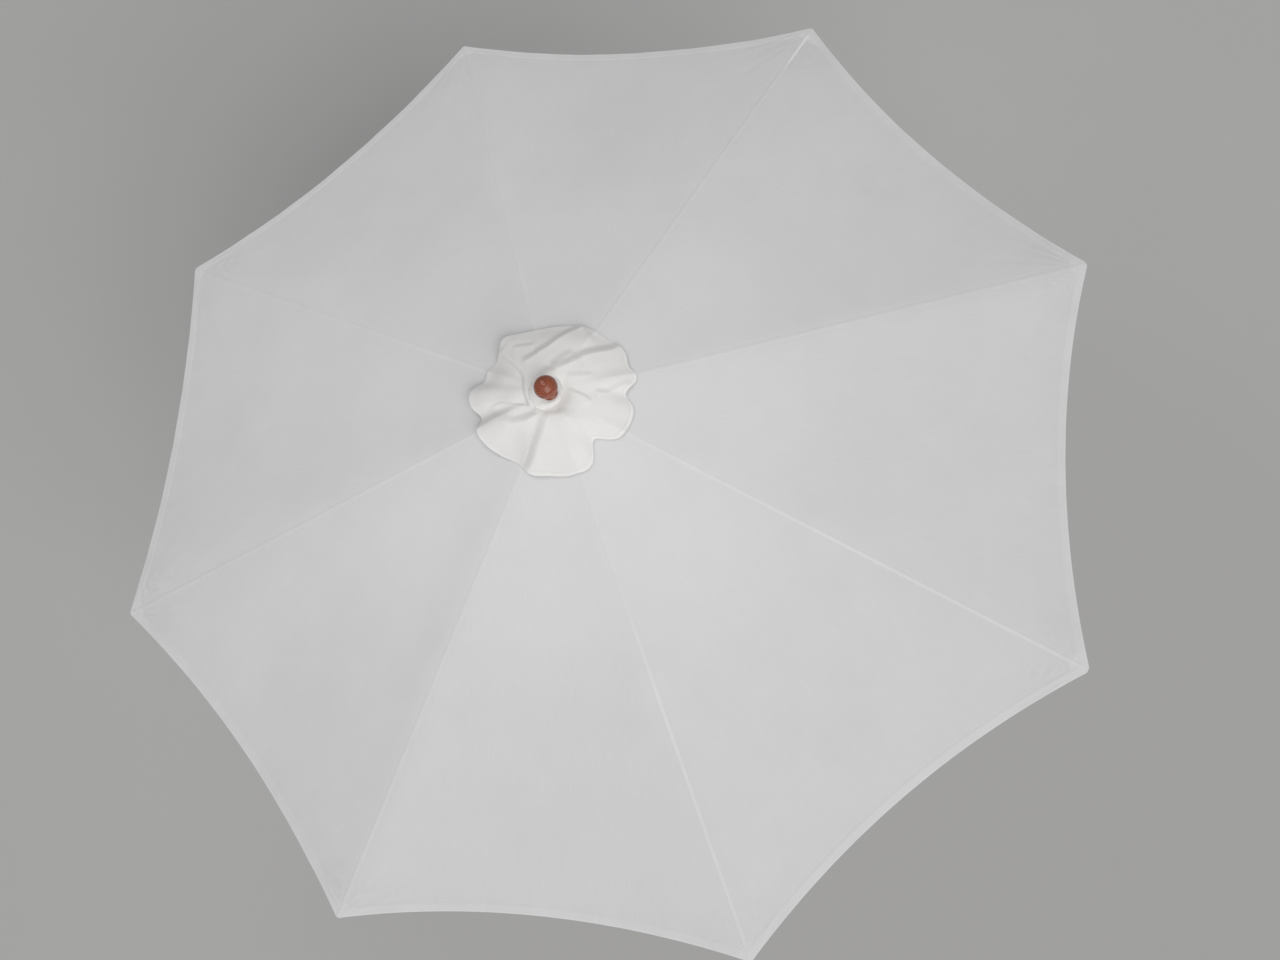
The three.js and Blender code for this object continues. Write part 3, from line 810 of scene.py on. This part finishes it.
def vent_cap():
    turn = np.arange(CAP_TURNS) * math.tau / CAP_TURNS - HALF
    points, radius, away = cap_surface(turn)
    normals = grid_normals(points)
    facts = cloth_facts((points[..., 0], points[..., 1], 0), (radius, FAR, FAR),
                        (radius * (turn + HALF), away, FAR))

    def cut(name, rows, columns):
        def take(values):
            return values[rows][::-1, columns]

        took = {key: take(value) for key, value in facts.items()}
        return slab(name, take(points), take(normals), CAP_CLOTH, took, CAP)

    width = CAP_TURNS // RIBS
    fold_row = CAP_INNER_ROWS + SHOULDER_ROWS
    for number in range(1, RIBS + 1):
        columns = np.arange((number - 1) * width, number * width + 1) % CAP_TURNS
        shoulder = cut(f"vent_cap_shoulder_{number}", slice(CAP_INNER_ROWS, fold_row + 1), columns)
        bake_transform(shoulder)
        skirt = cut(f"vent_cap_skirt_{number}", slice(fold_row, None), columns)
        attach(skirt, f"rib_{number}")
        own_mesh(skirt)
        for piece in (shoulder, skirt):
            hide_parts(f"vent_cap_gore_{number}")
    inside = slice(CAP_INNER_ROWS + 1)
    took = {key: value[inside] for key, value in facts.items()}
    middle = slab("vent_cap_middle", points[inside], normals[inside], CAP_CLOTH, took, CAP, True)
    stands(middle, "mast", "vent_cap_centre")


vent_cap()


# ---- Turned parts ----
def rounded(outline, steps=4):
    """Rounds the corners of a closed outline of radius, height and fillet, the last in mm."""
    result = []
    count = len(outline)
    for i, (r, z, fillet) in enumerate(outline):
        here = Vector((r, z))
        before = Vector(outline[i - 1][:2]) - here
        after = Vector(outline[(i + 1) % count][:2]) - here
        cut = min(fillet * MM, 0.45 * before.length, 0.45 * after.length)
        if cut <= 0:
            result.append((r, z))
            continue
        first, last = here + before.normalized() * cut, here + after.normalized() * cut
        for step in range(steps + 1):
            t = step / steps
            point = (1 - t) ** 2 * first + 2 * t * (1 - t) * here + t ** 2 * last
            result.append((point.x, point.y))
    return result


def lathe(name, outline, segments, material):
    """Turns an anticlockwise outline about Z; points on the axis share one vertex."""
    points, rings = [], []
    for r, z in outline:
        if r < 1e-7:
            rings.append([len(points)] * segments)
            points.append((0, 0, z))
        else:
            rings.append(list(range(len(points), len(points) + segments)))
            for i in range(segments):
                turn = math.tau * i / segments
                points.append((r * math.cos(turn), r * math.sin(turn), z))
    faces = []
    for a, b in zip(rings, rings[1:] + rings[:1]):
        for i in range(segments):
            j = (i + 1) % segments
            corners = list(dict.fromkeys((a[i], a[j], b[j], b[i])))
            if len(corners) > 2:
                faces.append(corners)
    mesh = bpy.data.meshes.new(name)
    mesh.from_pydata(points, [], faces)
    shade(mesh, 35)
    return link(name, mesh, material)


def shade(mesh, angle):
    """Smooth, apart from edges that turn by more than this many degrees."""
    mesh.polygons.foreach_set("use_smooth", np.ones(len(mesh.polygons), bool))
    mesh.set_sharp_from_angle(angle=math.radians(angle))
    mesh.update()


def grain(thing, turn=((0, 0, 1), (1, 0, 0), (0, 1, 0)), origin=(0, 0, 0)):
    """Stores each point in the wood's own frame, whose first axis runs along the grain."""
    mesh = thing.data
    points = np.zeros(len(mesh.vertices) * 3, np.float32)
    mesh.vertices.foreach_get("co", points)
    points = points.reshape(-1, 3) - np.array(origin)
    give(mesh, "grain", points @ np.array(turn).T)
    return thing


def apply_modifiers(thing):
    graph = bpy.context.evaluated_depsgraph_get()
    mesh = bpy.data.meshes.new_from_object(thing.evaluated_get(graph))
    thing.modifiers.clear()
    thing.data = mesh


def soften(thing, width, angle=32):
    """Bevels the edges that turn by more than this many degrees."""
    bevel = thing.modifiers.new("bevel", "BEVEL")
    bevel.width = width
    bevel.segments = 2
    bevel.limit_method = "ANGLE"
    bevel.angle_limit = math.radians(angle)
    apply_modifiers(thing)
    shade(thing.data, 40)
    return thing


def refined(node, name, material, bevel):
    """A copy of a CAD mesh with merged corners and softened edges."""
    build = bmesh.new()
    build.from_mesh(frame["nodes"][node].data)
    bmesh.ops.remove_doubles(build, verts=build.verts, dist=0.01 * MM)
    bmesh.ops.dissolve_limit(build, angle_limit=math.radians(1), verts=build.verts,
                             edges=build.edges)
    mesh = bpy.data.meshes.new(name)
    build.to_mesh(mesh)
    build.free()
    return soften(link(name, mesh, material), bevel)


POLE_BORE = 50 * MM  # how deep the finial's stud sits in the pole


def poles():
    low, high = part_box("lower_pole")
    outline = rounded([(0, low.z, 0), (POLE, low.z, 3), (POLE, high.z, 0.6), (0, high.z, 0)])
    lower = grain(lathe("pole_lower", outline, 96, POLE_WOOD))
    stands(lower, "base_pole", "lower_pole")
    low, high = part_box("upper_pole")
    bottom = high.z - POLE_BORE
    outline = rounded([(0, low.z, 0), (POLE, low.z, 0.6), (POLE, high.z, 1),
                       (CAP_BORE, high.z, 0.4), (CAP_BORE, bottom, 0), (0, bottom, 0)])
    upper = grain(lathe("pole_upper", outline, 96, POLE_WOOD), origin=(0.004, 0.003, -0.4))
    stands(upper, "mast", "upper_pole")


FERRULE_ROOM = 0.3 * MM
GROOVE_DEPTH = 1.1 * MM


def ferrule():
    """A brass tube with three turned grooves."""
    low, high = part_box("pole_ferrule")
    outer, inner, bore = high.x, high.x - GROOVE_DEPTH, POLE + FERRULE_ROOM
    outline = [(bore, low.z, 0.3), (outer, low.z, 0.8)]
    for z in (low.z + 9 * MM, (low.z + high.z) / 2, high.z - 9 * MM):
        outline += [(outer, z - 3 * MM, 0.4), (inner, z - 2.4 * MM, 0.3),
                    (inner, z + 2.4 * MM, 0.3), (outer, z + 3 * MM, 0.4)]
    outline += [(outer, high.z, 0.8), (bore, high.z, 0.3)]
    piece = grain(lathe("ferrule", rounded(outline), 96, BRASS))
    stands(piece, "base_pole", "pole_ferrule")


WIRE = 1.5 * MM  # half its thickness
WIRE_GROOVE = 2.2 * MM  # half the width of the groove that the wire lies in
WAIST = 1.2 * MM
HUB_ROOM, HUB_SLOT, HUB_CORE = 0.3 * MM, 17.4 * MM, 30 * MM
RUNNER_ROOM, RUNNER_SLOT, RUNNER_CORE = 0.8 * MM, 15.4 * MM, 27 * MM
RUNNER_NECK, RUNNER_NECK_HEIGHT = 28 * MM, 26 * MM


def slotted_drum(name, node, body, bore, wire, slot, core, neck=None):
    """A hub or runner: a turned drum with a groove for its wire, cut by a slot for each arm that
    runs out from the core. The wire is given by radius and height, the neck by radius and top."""
    low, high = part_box(node)
    radius, base = high.x, low.z
    outline = [(bore, low.z, 0.8)]
    if neck:
        base = neck[1]
        outline += [(neck[0], low.z, 2), (neck[0], base, 1.5)]
    waist = radius - WAIST
    middle = (base + high.z) / 2
    outer, inner = wire[0] + WIRE_GROOVE, wire[0] - WIRE_GROOVE
    groove_z = wire[1] - WIRE_GROOVE
    outline += [(radius, base, 5), (radius, middle - 4 * MM, 0.8), (waist, middle - 3 * MM, 0.8),
                (waist, middle + 3 * MM, 0.8), (radius, middle + 4 * MM, 0.8),
                (radius, high.z, 5), (outer, high.z, 0.6), (outer, groove_z, 0),
                (inner, groove_z, 0), (inner, high.z, 0.6), (bore, high.z, 0.8)]
    drum = lathe(name, rounded(outline, 3), 120, HUB_WOOD)
    reach = radius + 10 * MM - core
    build = bmesh.new()
    for number in range(1, RIBS + 1):
        move = (Matrix.Rotation(spoke(number), 4, "Z")
                @ Matrix.Translation((core + reach / 2, 0, (low.z + high.z) / 2))
                @ Matrix.Diagonal((reach, slot, high.z - low.z + 20 * MM, 1)))
        bmesh.ops.create_cube(build, size=1, matrix=move)
    mesh = bpy.data.meshes.new(name + "_cutter")
    build.to_mesh(mesh)
    build.free()
    cutter = link(name + "_cutter", mesh, HUB_WOOD)
    cut = drum.modifiers.new("slots", "BOOLEAN")
    cut.operation = "DIFFERENCE"
    cut.solver = "EXACT"
    cut.object = cutter
    apply_modifiers(drum)
    bpy.data.objects.remove(cutter)
    soften(drum, 0.7 * MM, 50)
    drum.data.materials.clear()
    drum.data.materials.append(HUB_WOOD)
    stands(grain(drum, origin=(0.02, 0.011, 0)), body, node)


def wire_of(node):
    """Radius and height of a wire ring's middle."""
    low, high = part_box(node)
    return high.x - WIRE, (low.z + high.z) / 2


def wire_ring(name, node, body):
    radius, z = wire_of(node)
    turns = [math.tau * i / 14 for i in range(14)]
    outline = [(radius + WIRE * math.cos(turn), z + WIRE * math.sin(turn)) for turn in turns]
    stands(grain(lathe(name, outline, 128, STEEL)), body, node)


def hubs():
    slotted_drum("top_hub_wood", "top_hub", "mast", POLE + HUB_ROOM, (hub_pivot.x, hub_pivot.z),
                 HUB_SLOT, HUB_CORE)
    wire_ring("hub_wire", "hub_ring", "mast")
    neck = (RUNNER_NECK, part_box("runner")[0].z + RUNNER_NECK_HEIGHT)
    slotted_drum("runner_wood", "runner", "runner", POLE + RUNNER_ROOM, wire_of("runner_ring"),
                 RUNNER_SLOT, RUNNER_CORE, neck)
    wire_ring("runner_wire", "runner_ring", "runner")


def cap_and_stud():
    low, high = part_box("hub_cap")
    outline = rounded([(CAP_BORE, low.z, 0), (high.x, low.z, 0.6), (high.x, high.z, 1),
                       (CAP_BORE, high.z, 0.4)])
    piece = grain(lathe("hub_cap_wood", outline, 96, HUB_WOOD), ((1, 0, 0), (0, 1, 0), (0, 0, 1)))
    stands(piece, "mast", "hub_cap")
    low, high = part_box("finial_stud")
    outline = rounded([(0, low.z, 0), (high.x, low.z, 0.8), (high.x, high.z, 0.8),
                       (0, high.z, 0)])
    stands(grain(lathe("stud", outline, 32, STEEL)), "mast", "finial_stud")


COLLAR_SHIFT = 18 * MM  # the loose cloth of the collar is pushed off the pole's axis
COLLAR_TURN = math.radians(88)
COLLAR_SEAT = 22 * MM  # level out to here, under the finial's foot
COLLAR_ROOM = 0.3 * MM  # above the cap and under the finial
COLLAR_CLOTH = 1.0 * MM


def collar():
    """A soft pad of cloth between the cap and the finial."""
    low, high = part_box("finial_collar")
    turns, rows = 240, 34
    turn = np.arange(turns) * math.tau / turns
    share = np.linspace(0, 1, rows + 1)[:, None]
    lean = turn - COLLAR_TURN
    outer = COLLAR_SHIFT * np.cos(lean) + np.sqrt(high.x ** 2 - (COLLAR_SHIFT * np.sin(lean)) ** 2)
    outer += 0.8 * MM * np.sin(3 * turn + 0.7) + 0.4 * MM * np.sin(7 * turn)
    radius = CAP_BORE + (outer - CAP_BORE) * np.sin(share * math.pi / 2)
    fall = np.clip((radius - COLLAR_SEAT) / (outer - COLLAR_SEAT), 0, 1)
    crown = high.z - low.z - COLLAR_ROOM
    ripple = np.sin(9 * turn + 1.4 * np.sin(2 * turn)) * smoothstep(0, 0.5, fall) * (1 - fall)
    height = low.z + COLLAR_ROOM + crown * (1 - fall ** 2.2) ** 0.6 + 0.5 * MM * ripple
    points = np.stack([radius * np.cos(turn), radius * np.sin(turn), height], -1)
    facts = cloth_facts((points[..., 0], points[..., 1], 0), (radius, FAR, FAR),
                        (radius * turn, outer - radius, FAR))
    piece = slab("collar_cloth", points, grid_normals(points), COLLAR_CLOTH, facts, CAP, True)
    stands(piece, "mast", "finial_collar")


# radius and height over the finial's bottom (mm)
FINIAL_FOOT = ((17.4, 0), (18.4, 0.5), (19, 1.8), (19, 3.4), (18.2, 5), (16, 6.2), (13.8, 7),
               (13, 8))
# radius and depth under its top (mm)
FINIAL_BUTTON = ((8.8, 5.6), (8, 5), (8, 3.4), (7.5, 1.9), (6, 0.8), (3.5, 0.2), (0, 0))
FINIAL_RINGS = (-0.16, 0.16, 0.86)  # turned grooves in the ball, in radians up from its middle
FINIAL_RING = 0.7 * MM
FINIAL_BORE = 30.3 * MM
BALL_HALF = 27 * MM  # half the ball's height
BALL_STEPS = 97


def finial():
    """A flattened ball on a short waisted foot, with a lip, two turned rings and a button."""
    low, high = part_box("finial")
    ball_z = high.z - 6 * MM - BALL_HALF
    outline = [(CAP_BORE, low.z)] + [(r * MM, low.z + z * MM) for r, z in FINIAL_FOOT]
    for i in range(1, BALL_STEPS):
        angle = -math.pi / 2 + math.pi * i / BALL_STEPS
        cut = sum(math.exp(-((angle - ring) / 0.028) ** 2) for ring in FINIAL_RINGS)
        r = high.x * math.cos(angle) - FINIAL_RING * cut
        z = ball_z + BALL_HALF * math.sin(angle)
        if (r > 9 * MM and angle > 0) or (angle <= 0 and z > low.z + 8.4 * MM):
            outline.append((r, z))
    outline += [(r * MM, high.z - z * MM) for r, z in FINIAL_BUTTON]
    outline += [(0, low.z + FINIAL_BORE), (CAP_BORE, low.z + FINIAL_BORE)]
    piece = lathe("finial_turned", outline, 128, FINIAL_WOOD)
    stands(grain(piece, origin=(0.006, 0.009, low.z)), "finial", "finial")


def clamp_screw():
    piece = refined("clamp_screw", "clamp_screw_brass", BRASS, 0.5 * MM)
    stands(grain(piece), "clamp_screw", "clamp_screw")


def arms():
    """Ribs, struts and brackets, with the grain along each arm."""
    foot, foot_z = wire_of("runner_ring")
    rise = math.atan2(strut_pivot.z - foot_z, strut_pivot.x - foot)
    for number in range(1, RIBS + 1):
        azimuth = spoke(number)
        across = toward(azimuth + math.pi / 2, 0)
        rib_along, strut_along = toward(azimuth, -SLOPE), toward(azimuth, rise)
        for node, along, bevel in ((f"rib_{number}", rib_along, 1.4 * MM),
                                   (f"strut_{number}", strut_along, 1.6 * MM)):
            piece = refined(node, node + "_wood", POLE_WOOD, bevel)
            shift = Vector((0.37, 0.013, 0.021)) * number
            grain(piece, (along, across, along.cross(across)), origin=shift)
            stands(piece, node, node)
        bracket = f"rib_bracket_{number}"
        piece = refined(bracket, bracket + "_brass", BRASS, 0.35 * MM)
        grain(piece, (rib_along, across, rib_along.cross(across)))
        stands(piece, f"rib_{number}", bracket)


poles()
ferrule()
hubs()
cap_and_stud()
collar()
finial()
clamp_screw()
arms()


# ---- Floor and light ----
FLOOR_HALF = 40


def floor():
    n = Nodes("floor")
    place = n.add("TexCoord", {}, "Object")
    colour = n.mix(n.noise(place, 0.7), (0.585, 0.582, 0.576), (0.62, 0.617, 0.611))
    material = n.finish({"Base Color": colour, "Roughness": 0.9,
                         "Normal": n.bump(n.noise(place, 60, 3), 0.3 * MM, 0.2)})
    mesh = bpy.data.meshes.new("floor")
    corners = ((-1, -1), (1, -1), (1, 1), (-1, 1))
    mesh.from_pydata([(FLOOR_HALF * x, FLOOR_HALF * y, 0) for x, y in corners], [], [(0, 1, 2, 3)])
    ground = link("floor", mesh, material)
    ground.location.z = cad_low.z - 1 * MM


def light(name, kind, energy):
    data = bpy.data.lights.new(name, kind)
    data.energy = energy
    return put(name, data)


def sun(strength, spread, azimuth, from_zenith, colour):
    """Soft light from one side; angles in degrees."""
    key = light("key", "SUN", strength)
    key.data.angle = math.radians(spread)
    key.data.color = colour
    place = toward(math.radians(azimuth), math.radians(90 - from_zenith))
    key.rotation_euler = place.to_track_quat("Z", "Y").to_euler()


def overhead(power, size, azimuth, out, above):
    """A large soft light over the canopy, out from the pole's axis."""
    lamp = light("overhead", "AREA", power)
    lamp.data.shape = "DISK"
    lamp.data.size = size
    lamp.location = out * toward(math.radians(azimuth), 0) + Vector((0, 0, CROWN_Z + above))
    lamp.visible_camera = False


def surroundings(strength, colour):
    world = bpy.data.worlds.new("studio")
    world.use_nodes = True
    background = world.node_tree.nodes["Background"]
    background.inputs["Color"].default_value = (*colour, 1)
    background.inputs["Strength"].default_value = strength
    bpy.context.scene.world = world


floor()
sun(strength=1.80, spread=45, azimuth=242, from_zenith=50, colour=(1.0, 0.995, 0.99))
overhead(power=13.4, size=1.8, azimuth=72, out=0.82, above=1.95)
surroundings(strength=0.21, colour=(0.985, 0.99, 1.0))
bpy.context.scene.view_settings.view_transform = "Standard"
